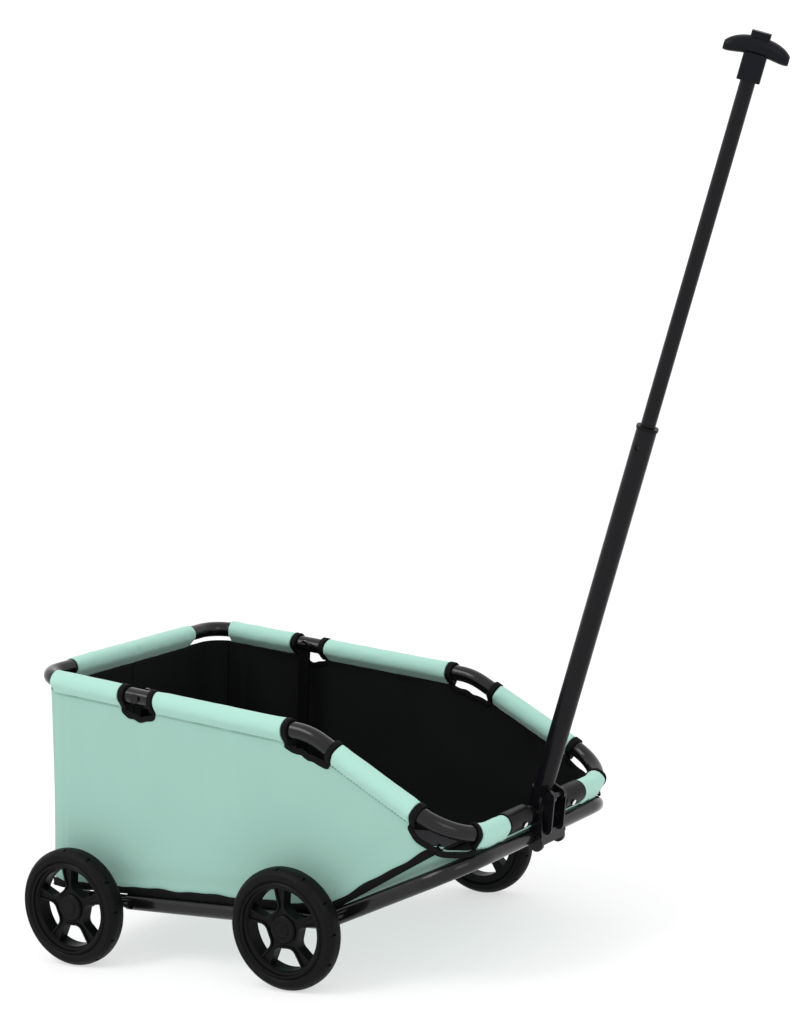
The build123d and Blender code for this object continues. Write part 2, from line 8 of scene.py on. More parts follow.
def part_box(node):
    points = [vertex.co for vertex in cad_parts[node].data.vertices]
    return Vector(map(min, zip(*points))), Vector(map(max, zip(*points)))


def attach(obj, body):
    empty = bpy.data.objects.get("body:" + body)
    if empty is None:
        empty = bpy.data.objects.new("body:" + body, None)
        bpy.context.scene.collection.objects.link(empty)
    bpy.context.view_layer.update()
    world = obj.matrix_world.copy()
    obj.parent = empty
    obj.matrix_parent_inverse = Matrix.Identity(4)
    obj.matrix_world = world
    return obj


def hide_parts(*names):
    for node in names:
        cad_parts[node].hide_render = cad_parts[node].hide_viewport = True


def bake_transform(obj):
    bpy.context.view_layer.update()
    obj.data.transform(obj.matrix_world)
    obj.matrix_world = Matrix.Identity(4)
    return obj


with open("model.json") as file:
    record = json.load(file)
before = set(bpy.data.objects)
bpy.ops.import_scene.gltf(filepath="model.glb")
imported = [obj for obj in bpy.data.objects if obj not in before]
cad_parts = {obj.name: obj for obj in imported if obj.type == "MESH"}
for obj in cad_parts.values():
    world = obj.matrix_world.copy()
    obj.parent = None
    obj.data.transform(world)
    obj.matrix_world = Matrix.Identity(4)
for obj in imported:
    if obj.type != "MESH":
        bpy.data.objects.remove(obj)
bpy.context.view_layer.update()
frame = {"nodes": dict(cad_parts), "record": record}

# The cloth is laid out in millimetres from the front axle, as the CAD is, and
# put() moves it into the frame, whose own boxes say where that axle is.
axle_low, axle_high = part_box("front_axle")
AXLE_X = (axle_low.x + axle_high.x) / 2
rim_low, rim_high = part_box("rim_tube")

TUBE_R = 8.5
RIM_HALF_W = rim_high.y * 1000 - TUBE_R
RIM_FRONT = ((rim_high.x - AXLE_X) * 1000 - TUBE_R, rim_low.z * 1000 + TUBE_R)
RIM_REAR = ((rim_low.x - AXLE_X) * 1000 + TUBE_R, rim_high.z * 1000 - TUBE_R)
RIM_KINK = (24.0, 253.5)
CORNER_R = 52.0
KINK_R = 70.0
REAR_CORNER_R = 30.0

SLEEVE_R = 10.2               # outside of the cloth round the tube
SEAM_DROP = 14.4              # stitched seam, below the tube's centre
SEAM_OUT = 1.6
CLOTH = 0.9
REAR_SLEEVE_X = -299.0        # where the side sleeve ends at the rear corner
CUT_OUT_X = (-211.0, -165.0)
BARE_X = (-6.0, 55.0)         # the bare bend between two side sleeves
LAST_SLEEVE_X = 141.0
FRONT_SLEEVE_Y = (76.0, 122.0)
COLLAR_W = 9.0
SPLIT_X = -304.0              # where the side panel meets the rear one
TIP = (168.0, 146.0)          # where the side panel, front panel and rim corner meet
FOLD_LINE_X = 29.0            # front edge of the basket's flat floor
HEM_Z = 73.5
HEM_REAR_X = -331.0
PANEL_Y = 158.0
HEM_W = 8.5
STAY_SLIT_X = (-242.0, -50.0)
STAY_SLIT_Y = (138.5, 148.5)
BACK_SLEEVE_Y = 104.0         # half length of the sleeve on the rear tube
GRIP_HALF = 0.031
GRIP_W = 0.021
GRIP_H = 0.017
GRIP_DROOP = 0.0065
GRIP_TAPER = 0.93
GRIP_BELOW_BUTTON = 0.0087    # from the button's middle down to the bar's
SCREW_Y = 49.5
SCREW_R = 3.4
SCREW_DIP = 27.0              # degrees below level
FITTING_R = 11.5
HANDLE_LEAN = radians(21.76)
GRIP_TURN = radians(22.0)     # the grip's bar, turned about the handle axis


# ------------------------------------------------------------------- helpers
def put(points):
    """Millimetres from the front axle, as metres in the frame."""
    return np.asarray(points, float) / 1000 + np.array([AXLE_X, 0.0, 0.0])


def smooth(t):
    """A smooth step from 0 to 1."""
    t = np.clip(t, 0, 1)
    return t * t * (3 - 2 * t)


def rounded_path(points, radii, step):
    """Evenly spaced points along straight runs with rounded corners."""
    points = [np.array(p, float) for p in points]
    path = [points[0]]
    for before, corner, after, radius in zip(points, points[1:], points[2:], radii):
        u = (before - corner) / np.linalg.norm(before - corner)
        v = (after - corner) / np.linalg.norm(after - corner)
        half = np.arccos(u @ v) / 2
        middle = (u + v) / np.linalg.norm(u + v)
        centre = corner + middle * radius / np.sin(half)
        start = corner + u * radius / np.tan(half) - centre
        end = corner + v * radius / np.tan(half) - centre
        angle = pi - 2 * half
        for t in np.linspace(0, 1, 25):
            blend = np.sin((1 - t) * angle) * start + np.sin(t * angle) * end
            path.append(centre + blend / np.sin(angle))
    path.append(points[-1])
    path = np.array(path)
    gaps = np.linalg.norm(np.diff(path, axis=0), axis=1)
    lengths = np.concatenate([[0], np.cumsum(gaps)])
    places = np.linspace(0, lengths[-1], int(lengths[-1] / step))
    return np.stack([np.interp(places, lengths, path[:, i]) for i in range(3)], axis=1)


def directions(path):
    """Outward and upward unit vectors across each point of a path."""
    along = np.gradient(path, axis=0)
    along /= np.linalg.norm(along, axis=1)[:, None]
    up = np.array([0, 0, 1.0]) - along[:, 2:3] * along
    up /= np.linalg.norm(up, axis=1)[:, None]
    return np.cross(along, up), up


def make_mesh(name, vertices, faces, materials, body=None):
    """A smooth-shaded mesh object, riding on a body if one is given."""
    mesh = bpy.data.meshes.new(name)
    mesh.from_pydata([tuple(v) for v in vertices], [], faces)
    mesh.validate()
    obj = bpy.data.objects.new(name, mesh)
    bpy.context.scene.collection.objects.link(obj)
    for material in materials:
        mesh.materials.append(material)
    mesh.polygons.foreach_set("use_smooth", [True] * len(mesh.polygons))
    if body:
        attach(obj, body)
    return obj


def grid_faces(rows, columns, closed=False, flip=False):
    """Quads between rows of points; closed joins each row's ends."""
    faces = []
    for i in range(rows - 1):
        for j in range(columns if closed else columns - 1):
            k = (j + 1) % columns
            face = (i * columns + j, i * columns + k, (i + 1) * columns + k, (i + 1) * columns + j)
            faces.append(face[::-1] if flip else face)
    return faces


def mirror_if(points, side):
    """The points as they are, or on the other side of the middle plane."""
    return points * np.array([1, side, 1.0])


def swept(name, loops, materials, body, side=1):
    """A closed skin through a row of closed loops, capped at both ends."""
    count, size = len(loops), len(loops[0])
    vertices = put(mirror_if(np.concatenate(loops), side))
    faces = grid_faces(count, size, closed=True, flip=side < 0)
    caps = [tuple(range(size))[::-1], tuple(range((count - 1) * size, count * size))]
    faces += [cap[::side] for cap in caps]
    return make_mesh(name, vertices, faces, materials, body)


def cloth_sheet(name, grid, materials, side=1, flip=False, keep=None):
    """A thin two-faced sheet: the first material outside, the second inside."""
    rows, columns = grid.shape[:2]
    flat = grid.reshape(-1, 3)
    faces = grid_faces(rows, columns, flip=flip != (side < 0))
    if keep:
        faces = [face for face in faces if keep(flat[list(face)].mean(axis=0))]
    obj = make_mesh(name, put(mirror_if(flat, side)), faces, materials)
    thick = obj.modifiers.new("thickness", "SOLIDIFY")
    thick.thickness = CLOTH / 1000
    thick.offset = -1
    thick.material_offset = 1
    return obj


def follow_fold(obj):
    """Bakes the sheet's placement into its mesh."""
    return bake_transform(obj)


# ----------------------------------------------------------------- materials
DARK_GLOSS = 0.09             # keeps the blacks black under the white backdrop


def new_material(name, colour, roughness, metallic=0.0):
    """A material, its Principled shader and its node tree."""
    material = bpy.data.materials.new(name)
    material.use_nodes = True
    tree = material.node_tree
    shader = tree.nodes["Principled BSDF"]
    shader.inputs["Base Color"].default_value = (*colour, 1)
    shader.inputs["Roughness"].default_value = roughness
    shader.inputs["Metallic"].default_value = metallic
    shader.inputs["Specular IOR Level"].default_value = 0.5 if metallic else DARK_GLOSS
    return material, shader, tree


def noise_node(tree, scale, detail=3.0):
    """A noise texture in the object's own coordinates."""
    coordinates = tree.nodes.new("ShaderNodeTexCoord")
    texture = tree.nodes.new("ShaderNodeTexNoise")
    texture.inputs["Scale"].default_value = scale
    texture.inputs["Detail"].default_value = detail
    tree.links.new(coordinates.outputs["Object"], texture.inputs["Vector"])
    return texture.outputs["Fac"]


def vary(tree, shader, socket, factor, low, high):
    """Drives a shader value between two numbers by a texture."""
    mapped = tree.nodes.new("ShaderNodeMapRange")
    mapped.inputs["From Min"].default_value = 0.3
    mapped.inputs["From Max"].default_value = 0.7
    mapped.inputs["To Min"].default_value = low
    mapped.inputs["To Max"].default_value = high
    tree.links.new(factor, mapped.inputs["Value"])
    tree.links.new(mapped.outputs["Result"], shader.inputs[socket])


def tint(tree, shader, factor, low, high):
    """Mixes two colours by a texture into the base colour."""
    mixed = tree.nodes.new("ShaderNodeMix")
    mixed.data_type = "RGBA"
    mixed.inputs["A"].default_value = (*low, 1)
    mixed.inputs["B"].default_value = (*high, 1)
    tree.links.new(factor, mixed.inputs["Factor"])
    tree.links.new(mixed.outputs["Result"], shader.inputs["Base Color"])


def bump(tree, shader, height, distance, strength=1.0):
    """Bump from a height, on top of any bump that is there."""
    node = tree.nodes.new("ShaderNodeBump")
    node.inputs["Distance"].default_value = distance
    node.inputs["Strength"].default_value = strength
    tree.links.new(height, node.inputs["Height"])
    socket = shader.inputs["Normal"]
    if socket.is_linked:
        tree.links.new(socket.links[0].from_socket, node.inputs["Normal"])
    tree.links.new(node.outputs["Normal"], socket)


def weave(tree, threads_per_metre):
    """Threads crossing along all three axes, so that any panel shows two."""
    coordinates = tree.nodes.new("ShaderNodeTexCoord")
    total = None
    for direction in ("X", "Y", "Z"):
        wave = tree.nodes.new("ShaderNodeTexWave")
        wave.bands_direction = direction
        wave.inputs["Scale"].default_value = threads_per_metre * 0.31416 / 2
        wave.inputs["Distortion"].default_value = 0.4
        tree.links.new(coordinates.outputs["Object"], wave.inputs["Vector"])
        if total is None:
            total = wave.outputs["Fac"]
            continue
        add = tree.nodes.new("ShaderNodeMath")
        tree.links.new(total, add.inputs[0])
        tree.links.new(wave.outputs["Fac"], add.inputs[1])
        total = add.outputs[0]
    return total


def cloth_material(name, colour, shade, threads, sheen):
    """Woven polyester: fine threads, soft puckers and a little sheen."""
    material, shader, tree = new_material(name, colour, 0.72)
    darker = tuple(c * shade for c in colour)
    tint(tree, shader, noise_node(tree, 9.0, 4.0), darker, colour)
    shader.inputs["Sheen Weight"].default_value = sheen
    shader.inputs["Sheen Roughness"].default_value = 0.5
    bump(tree, shader, weave(tree, threads), 0.00004, 0.25)
    bump(tree, shader, noise_node(tree, 38.0, 2.0), 0.0006, 0.35)
    return material


def paint_material(name, colour, roughness, coat):
    """Glossy paint on tube: orange peel, uneven gloss and faint dust."""
    material, shader, tree = new_material(name, colour, roughness)
    shader.inputs["Coat Weight"].default_value = coat
    shader.inputs["Coat Roughness"].default_value = 0.12
    vary(tree, shader, "Roughness", noise_node(tree, 60.0), roughness * 0.8, roughness * 1.3)
    tint(tree, shader, noise_node(tree, 25.0), colour, tuple(c * 1.5 for c in colour))
    bump(tree, shader, noise_node(tree, 420.0, 1.0), 0.0001, 0.35)
    return material


def plastic_material(name, colour, roughness, grain):
    """Moulded plastic or rubber with a fine grain."""
    material, shader, tree = new_material(name, colour, roughness)
    vary(tree, shader, "Roughness", noise_node(tree, 45.0), roughness * 0.85, roughness * 1.2)
    tint(tree, shader, noise_node(tree, 18.0), colour, tuple(c * 1.6 for c in colour))
    bump(tree, shader, noise_node(tree, 900.0, 2.0), grain, 0.5)
    return material


def steel_material():
    """Zinc-plated steel with a faint drawn grain."""
    material, shader, tree = new_material("zinc_steel", (0.5, 0.5, 0.5), 0.32, 1.0)
    vary(tree, shader, "Roughness", noise_node(tree, 300.0), 0.25, 0.45)
    bump(tree, shader, noise_node(tree, 700.0), 0.00005, 0.4)
    return material


def board_material():
    """Dark pressed board with coarse fibres."""
    material, shader, tree = new_material("pressed_board", (0.03, 0.03, 0.032), 0.8)
    tint(tree, shader, noise_node(tree, 160.0, 5.0), (0.02, 0.02, 0.022), (0.05, 0.05, 0.053))
    bump(tree, shader, noise_node(tree, 260.0, 4.0), 0.0003, 0.5)
    return material


MINT = (0.272, 0.455, 0.393)
mint = cloth_material("mint_cloth", MINT, 0.96, 1400.0, 0.15)
# The sleeves' cloth is the same mint as the panels, painted lighter: painted light for the light that falls
# on the sleeves' tops.
mint_painted_lit = cloth_material("mint_cloth_painted_lighter", (0.34, 0.575, 0.495), 0.97, 1400.0, 0.2)
lining = cloth_material("dark_lining", (0.0055, 0.0062, 0.006), 0.8, 1400.0, 0.0)
tape_cloth = cloth_material("binding_tape", (0.0035, 0.0035, 0.0038), 0.8, 900.0, 0.0)
thread = plastic_material("dark_thread", (0.02, 0.045, 0.04), 0.7, 0.00005)
frame_paint = paint_material("black_tube_paint", (0.003, 0.003, 0.0033), 0.24, 0.45)
handle_paint = paint_material("black_handle_enamel", (0.0028, 0.0026, 0.0036), 0.34, 0.15)
bracket_paint = paint_material("black_bracket_enamel", (0.003, 0.003, 0.0038), 0.3, 0.3)
wheel_plastic = plastic_material("wheel_plastic", (0.0028, 0.0028, 0.003), 0.4, 0.00008)
tyre_rubber = plastic_material("tyre_rubber", (0.0025, 0.0027, 0.0025), 0.5, 0.00015)
fitting_plastic = plastic_material("fitting_plastic", (0.0032, 0.0032, 0.0036), 0.34, 0.00006)
grip_plastic = plastic_material("grip_plastic", (0.0042, 0.0046, 0.0062), 0.4, 0.0001)
steel = steel_material()
chrome = new_material("bright_chrome", (0.75, 0.75, 0.75), 0.12, 1.0)[0]
board = board_material()

SLOT_MATERIALS = {
    "frame_paint": frame_paint,
    "handle_paint": handle_paint,
    "bracket_paint": bracket_paint,
    "stay_steel": frame_paint,
    "wheel_plastic": wheel_plastic,
    "tyre": tyre_rubber,
    "mint_cloth": mint,
    "binding": tape_cloth,
    "steel": steel,
    "board": board,
    "fitting_plastic": fitting_plastic,
    "grip_plastic": grip_plastic,
}


def dress_frame():
    """Gives every CAD node the material of its slot, and the bracket paint to the rivets, pins and bolt."""
    for part in frame["record"]["subparts"]:
        obj = frame["nodes"][part["node"]]
        obj.data.materials.clear()
        obj.data.materials.append(SLOT_MATERIALS[part["material_slot"]])
    for name in ("stay_rivets", "bracket_bolt", "handle_pin", "foot_rivet", "rim_rivets", "lock_pin"):
        frame["nodes"][name].data.materials[0] = bracket_paint


# -------------------------------------------------------------------- sleeves
def rim_path():
    """The rim's centre line, from the front middle round the left to the rear."""
    return rounded_path(
        [
            (RIM_FRONT[0], 0, RIM_FRONT[1]),
            (RIM_FRONT[0], RIM_HALF_W, RIM_FRONT[1]),
            (RIM_KINK[0], RIM_HALF_W, RIM_KINK[1]),
            (RIM_REAR[0], RIM_HALF_W, RIM_REAR[1]),
            (RIM_REAR[0], 0, RIM_REAR[1]),
        ],
        [CORNER_R, KINK_R, REAR_CORNER_R],
        1.5,
    )


PATH = rim_path()
OUT, UP = directions(PATH)
LENGTH = np.concatenate([[0], np.cumsum(np.linalg.norm(np.diff(PATH, axis=0), axis=1))])
CORNER_END = int(np.argmax(PATH[:, 0] < TIP[0]))


def side_index(x):
    """The path point at a given x on the side tube."""
    return int(np.argmin(np.abs(PATH[:, 0] - x) + 1000 * (PATH[:, 1] < RIM_HALF_W - 40)))


def front_index(y):
    """The path point at a given y on the front tube."""
    return int(np.argmin(np.abs(PATH[:, 1] - y) + 1000 * (PATH[:, 0] < RIM_FRONT[0] - 25)))


def sleeve_loop(i, radius, drop):
    """A drop-shaped loop round the tube, drawn down to the seam below it."""
    turn = np.radians(np.linspace(-32, 208, 25))
    outward = list(radius * np.cos(turn))
    upward = list(radius * np.sin(turn))
    for a, b in ((0.3, 0.3), (0.6, 0.6), (0.9, 0.9)):
        outward.append(outward[24] + (SEAM_OUT - 0.9 - outward[24]) * a)
        upward.append(upward[24] + (-drop - upward[24]) * b)
    outward += [SEAM_OUT - 0.7, SEAM_OUT + 0.9]
    upward += [-drop, -drop]
    for a in (0.1, 0.4, 0.7):
        outward.append(SEAM_OUT + 1.1 + (outward[0] - SEAM_OUT - 1.1) * a)
        upward.append(-drop + (upward[0] + drop) * a)
    outward, upward = np.array(outward), np.array(upward)
    return PATH[i] + outward[:, None] * OUT[i] + upward[:, None] * UP[i]


def pucker(i, loop, first, last, amount):
    """Small uneven folds in a sleeve, deeper towards its ends."""
    near_end = 1 - smooth(min(i - first, last - i) / 8)
    centre = PATH[i]
    moved = []
    for p in loop:
        n = noise.noise(Vector(p * np.array([0.05, 0.12, 0.12])))
        away = (p - centre) / np.linalg.norm(p - centre)
        moved.append(p + away * n * amount * (0.5 + near_end))
    return np.array(moved)


def sleeve(name, first, last, side, radius=SLEEVE_R, drop=SEAM_DROP, material=None, amount=0.7):
    """A stretch of cloth sleeve, open at its ends, round the tube."""
    first, last = min(first, last), max(first, last)
    outer = [pucker(i, sleeve_loop(i, radius, drop), first, last, amount)
             for i in range(first, last + 1)]
    inner = [sleeve_loop(i, TUBE_R + 0.15, TUBE_R + 1.5) for i in range(first, last + 1)]
    size = len(outer[0])
    loops = outer + inner[::-1] + outer[:1]
    vertices = put(mirror_if(np.concatenate(loops[:-1]), side))
    count = len(loops) - 1
    faces = []
    for i in range(count):
        for j in range(size):
            k = (j + 1) % size
            after = (i + 1) % count
            face = (i * size + j, i * size + k, after * size + k, after * size + j)
            faces.append(face[::-1] if side < 0 else face)
    # By default a sleeve gets the mint painted lighter, as painted light on its top.
    obj = make_mesh(name, vertices, faces, [material or mint_painted_lit], "rim")
    return obj


def stitches(name, first, last, side):
    """A row of short stitches just above the sleeve's seam."""
    first, last = min(first, last), max(first, last)
    vertices, faces = [], []
    length, gap, half_w, proud = 2.6, 1.5, 0.28, 0.45
    starts = np.arange(LENGTH[first] + 3, LENGTH[last] - 3, length + gap)
    for start in starts:
        for place in (start, start + length):
            i = int(np.searchsorted(LENGTH, place))
            part = (place - LENGTH[i - 1]) / (LENGTH[i] - LENGTH[i - 1])
            spot = PATH[i - 1] + part * (PATH[i] - PATH[i - 1])
            spot = spot + (SEAM_OUT + 1.9) * OUT[i] - (SEAM_DROP - 1.1) * UP[i]
            for a, b in ((-1, 0), (0, 1), (1, 0), (0, -1)):
                vertices.append(spot + b * proud * OUT[i] + a * half_w * UP[i])
        base = len(vertices) - 8
        faces += [(base + k, base + (k + 1) % 4, base + 4 + (k + 1) % 4, base + 4 + k)
                  for k in range(4)]
        faces += [(base + 3, base + 2, base + 1, base), (base + 4, base + 5, base + 6, base + 7)]
    make_mesh(name, put(mirror_if(np.array(vertices), side)), faces, [thread], "rim")


SLEEVES = {
    "rear": (side_index(REAR_SLEEVE_X), side_index(CUT_OUT_X[0])),
    "middle": (side_index(CUT_OUT_X[1]), side_index(BARE_X[0])),
    "slope": (side_index(BARE_X[1]), side_index(LAST_SLEEVE_X)),
    "front": (front_index(FRONT_SLEEVE_Y[0]), front_index(FRONT_SLEEVE_Y[1])),
}
STEP = LENGTH[1]


def collar_spans():
    """First and last path points of the dark bands beside the sleeves."""
    wide = int(COLLAR_W / STEP)
    rear, middle, slope, front = (SLEEVES[k] for k in ("rear", "middle", "slope", "front"))
    return {
        "cut_rear": (min(rear) - wide, min(rear) - 1),
        "cut_front": (max(middle) + 1, max(middle) + wide),
        "bend_rear": (min(middle) - wide, min(middle) - 1),
        "bend_front": (max(slope) + 1, max(slope) + wide),
        "corner_side": (min(slope) - wide, min(slope) - 1),
        "corner_front": (max(front) + 1, max(front) + int(wide * 0.6)),
    }


def make_sleeves():
    """All the sleeves, collars and stitches on the rim."""
    for side, word in ((1, "left"), (-1, "right")):
        for name, (a, b) in SLEEVES.items():
            sleeve(f"sleeve_{name}_{word}", a, b, side)
            stitches(f"stitches_{name}_{word}", a, b, side)
        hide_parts("rim_side_sleeves_" + word)
        for name, (a, b) in collar_spans().items():
            sleeve(f"collar_{name}_{word}", a, b, side, SLEEVE_R + 1.0,
                                  SEAM_DROP + 0.6, tape_cloth, 0.4)
    rear_first = int(np.argmax((PATH[:, 0] < RIM_REAR[0] + 1.0) & (PATH[:, 1] < BACK_SLEEVE_Y)))
    last = len(PATH) - 1
    halves = [sleeve("sleeve_back_" + word, rear_first, last, side)
              for side, word in ((1, "left"), (-1, "right"))]
    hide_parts("rim_cross_sleeves")
    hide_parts("sleeve_collars")


# ----------------------------------------------------------- grip and screws
def make_grip():
    """A smooth T grip about the CAD's one, its bar turned about the handle."""
    button_low, button_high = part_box("push_button")
    axis = Vector((sin(HANDLE_LEAN), 0, cos(HANDLE_LEAN)))
    forward = Vector((cos(HANDLE_LEAN), 0, -sin(HANDLE_LEAN)))
    bar = forward * cos(GRIP_TURN) + Vector((0, sin(GRIP_TURN), 0))
    across = axis.cross(bar)
    middle = (button_low + button_high) / 2 - axis * GRIP_BELOW_BUTTON
    loops = []
    for share in np.linspace(-1, 1, 41):
        fullness = (1 - (GRIP_TAPER * abs(share)) ** 4) ** 0.5
        centre = middle + bar * share * GRIP_HALF - axis * GRIP_DROOP * share ** 2
        loop = []
        for a in np.linspace(0, 2 * pi, 33)[:-1]:
            wide = GRIP_W / 2 * fullness * np.sign(cos(a)) * abs(cos(a)) ** 0.9
            tall = GRIP_H / 2 * fullness * np.sign(sin(a)) * abs(sin(a)) ** 0.9
            loop.append(centre + across * wide + axis * tall)
        loops.append(loop)
    size = len(loops[0])
    vertices = [p for loop in loops for p in loop]
    faces = grid_faces(len(loops), size, closed=True, flip=True)
    faces += [tuple(range(size)), tuple(range((len(loops) - 1) * size, len(loops) * size))[::-1]]
    obj = make_mesh("smooth_grip", vertices, faces, [grip_plastic], "slider")
    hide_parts("grip")


def make_screws():
    """A bright domed screw on the front of each rim fitting."""
    for word, side in (("left", 1), ("right", -1)):
        dip = radians(SCREW_DIP)
        out = Vector((cos(dip), 0, -sin(dip)))
        rise = Vector((sin(dip), 0, cos(dip)))
        level = Vector((0, 1, 0))
        centre = Vector((AXLE_X + RIM_FRONT[0] / 1000, side * SCREW_Y / 1000, RIM_FRONT[1] / 1000))
        vertices, faces = [], []
        for ring, lift in ((1.0, 0.0), (0.97, 0.5), (0.8, 1.0), (0.5, 1.35), (0.01, 1.5)):
            for a in np.linspace(0, 2 * pi, 25)[:-1]:
                flat = (level * cos(a) + rise * sin(a)) * ring * SCREW_R / 1000
                vertices.append(centre + out * (FITTING_R + 0.9 + lift) / 1000 + flat)
        faces = grid_faces(5, 24, closed=True)
        faces += [tuple(range(24))[::-1], tuple(range(96, 120))]
        screw = make_mesh("fitting_screw_" + word, vertices, faces, [chrome], "rim")


# --------------------------------------------------------------------- basket
def note_bare_stretches():
    """Where the cloth's top edge dips below a bare stretch of tube, and how far."""
    spans = collar_spans()
    return [
        (spans["cut_front"][0], spans["cut_rear"][1], 7.0),
        (spans["bend_front"][0], spans["bend_rear"][1], 5.5),
        (spans["corner_front"][0], spans["corner_side"][1], 8.5),
    ]


BARE_STRETCHES = note_bare_stretches()


def edge_drop(i):
    """How far below the tube's centre the cloth's top edge lies."""
    for first, last, depth in BARE_STRETCHES:
        if first <= i <= last:
            share = (i - first) / (last - first)
            wave = 0.9 * sin(2 * pi * 2.5 * share + 1.0) * sin(pi * share)
            return SEAM_DROP - 1.2 + depth * sin(pi * share) ** 0.6 + wave
    return SEAM_DROP - 1.2


def edge_point(i):
    """The cloth's top edge below path point i."""
    return PATH[i] + (SEAM_OUT + 0.2) * OUT[i] - edge_drop(i) * UP[i]


def hem_point(x):
    """The side panel's lower edge at a given x."""
    z = HEM_Z + max(0.0, x - FOLD_LINE_X) * (TIP[1] - HEM_Z) / (TIP[0] - FOLD_LINE_X)
    inward = 7.0 * smooth((x - 140) / 28) + 5.0 * smooth((HEM_REAR_X + 18 - x) / 18)
    return np.array([x, PANEL_Y - inward, z])


def fold_offsets(x, v):
    """Soft upright folds and a gentle belly, as an outward offset."""
    folds = 0.0
    for k in range(13):
        where = -300 + 34 * k + 9 * sin(5.1 * k)
        wide = 8 + 5 * sin(2.3 * k) ** 2
        deep = 1.1 * sin(3.7 * k + 0.6)
        lean = 22 * sin(1.9 * k)
        folds += deep * np.exp(-((x - where - lean * v) / wide) ** 2)
    fading = (1 - smooth((v - 0.05) / 0.8)) * smooth(v / 0.06)
    ripples = noise.noise(Vector((x * 0.017, v * 2.0, 3.0))) * 2.2 * sin(pi * v)
    belly = 3.4 * sin(pi * min(1.0, v ** 0.8)) * smooth((165 - x) / 120) * smooth((x + 333) / 60)
    tuck = -1.6 * np.exp(-((v - 0.93) / 0.06) ** 2) * smooth((60 - x) / 60)
    return folds * fading + ripples * smooth((170 - x) / 100) + belly + tuck


def side_grid():
    """The side panel, from its sleeves down to the hem."""
    rows = 56
    first, last = CORNER_END + 1, side_index(SPLIT_X)
    tip_x = edge_point(first)[0]
    columns = [first, *reversed(range(last, first, -2))]
    grid = np.zeros((rows, len(columns), 3))
    for c, i in enumerate(columns):
        top = edge_point(i)
        share = (top[0] - edge_point(last)[0]) / (tip_x - edge_point(last)[0])
        bottom = hem_point(HEM_REAR_X + share * (TIP[0] - HEM_REAR_X))
        for r in range(rows):
            v = r / (rows - 1)
            point = top + (bottom - top) * v
            outward = OUT[i] * np.array([1, 1, 0]) * (1 - v) + np.array([0, 1, 0]) * v
            if i > last - 14:
                outward = outward * 0
            grid[r, c] = point + outward * fold_offsets(point[0], v)
    return grid


def rear_grid():
    """The rear panel, between the two side panels."""
    rows, corner = 40, side_index(SPLIT_X)
    half = list(range(corner, len(PATH), 2))
    tops = [edge_point(i) for i in half]
    bottom_half_w = hem_point(HEM_REAR_X)[1]
    full = [t * np.array([1, -1, 1]) for t in tops] + tops[::-1]
    grid = np.zeros((rows, len(full), 3))
    for c, top in enumerate(full):
        across = top[1] / tops[0][1]
        bottom = np.array([HEM_REAR_X, across * bottom_half_w, HEM_Z])
        for r in range(rows):
            v = r / (rows - 1)
            point = top + (bottom - top) * v
            belly = 3.0 * sin(pi * v) * (1 - across ** 4)
            ripple = 1.2 * noise.noise(Vector((point[1] * 0.02, v * 2, 9.0))) * sin(pi * v)
            grid[r, c] = point - np.array([belly + ripple * (1 - across ** 4), 0, 0])
    return grid


def front_grid():
    """The sloping front panel, which sags between its two side seams."""
    rows = 40
    half = list(range(0, CORNER_END + 2, 2))
    if half[-1] != CORNER_END + 1:
        half.append(CORNER_END + 1)
    tops = [edge_point(i) for i in half]
    full = [t * np.array([1, -1, 1]) for t in tops[::-1]] + tops[1:]
    widest = tops[-1][1]
    grid = np.zeros((rows, len(full), 3))
    for c, top in enumerate(full):
        across = top[1] / widest
        bottom = np.array([FOLD_LINE_X, across * PANEL_Y, HEM_Z])
        for r in range(rows):
            v = r / (rows - 1)
            seam = hem_point(TIP[0] + (FOLD_LINE_X - TIP[0]) * v)
            point = top + (bottom - top) * v
            point[1] += across * (seam[1] - (widest + (PANEL_Y - widest) * v))
            sag = 9.0 * sin(pi * v ** 0.75) * (1 - abs(across) ** 5)
            wave = 1.5 * noise.noise(Vector((point[0] * 0.03, point[1] * 0.02, 5.0))) * sin(pi * v)
            grid[r, c] = point - np.array([0, 0, sag + wave * (1 - abs(across) ** 5)])
    return grid


def floor_grid():
    """The basket's flat floor, with lines along the edges of the stays' slits."""
    xs = np.concatenate([np.linspace(HEM_REAR_X, STAY_SLIT_X[0], 24),
                         np.linspace(*STAY_SLIT_X, 12)[1:],
                         np.linspace(STAY_SLIT_X[1], FOLD_LINE_X, 50)[1:]])
    ys = np.concatenate([[1 - PANEL_Y], [-STAY_SLIT_Y[1]], np.linspace(-STAY_SLIT_Y[0], STAY_SLIT_Y[0], 60),
                         [STAY_SLIT_Y[1]], [PANEL_Y - 1]])
    grid = np.zeros((len(ys), len(xs), 3))
    for r, y in enumerate(ys):
        for c, x in enumerate(xs):
            lift = 0.5 * noise.noise(Vector((x * 0.03, y * 0.03, 2.0)))
            grid[r, c] = (x, y, HEM_Z + 1.2 + lift)
    return grid


def outside_slits(centre):
    """True for a face of the floor that isn't in a stay's slit."""
    x, y = centre[0], abs(centre[1])
    in_slit = STAY_SLIT_X[0] < x < STAY_SLIT_X[1] and STAY_SLIT_Y[0] < y < STAY_SLIT_Y[1]
    return not in_slit


def tape(name, tops, bottoms, outward, thick, side):
    """A folded band of binding between an upper and a lower line."""
    loops = []
    for k, (top, bottom, out) in enumerate(zip(tops, bottoms, outward)):
        swell = 1 + 0.12 * sin(k * 0.9)
        loop = []
        for a in np.linspace(0, 2 * pi, 13)[:-1]:
            along = 0.5 - 0.5 * np.sign(cos(a)) * abs(cos(a)) ** 0.6
            away = np.sign(sin(a)) * abs(sin(a)) ** 0.6 * thick / 2 * swell
            loop.append(top + (bottom - top) * along + out * away)
        loops.append(np.array(loop))
    obj = swept(name, loops, [tape_cloth], None, side)
    return obj


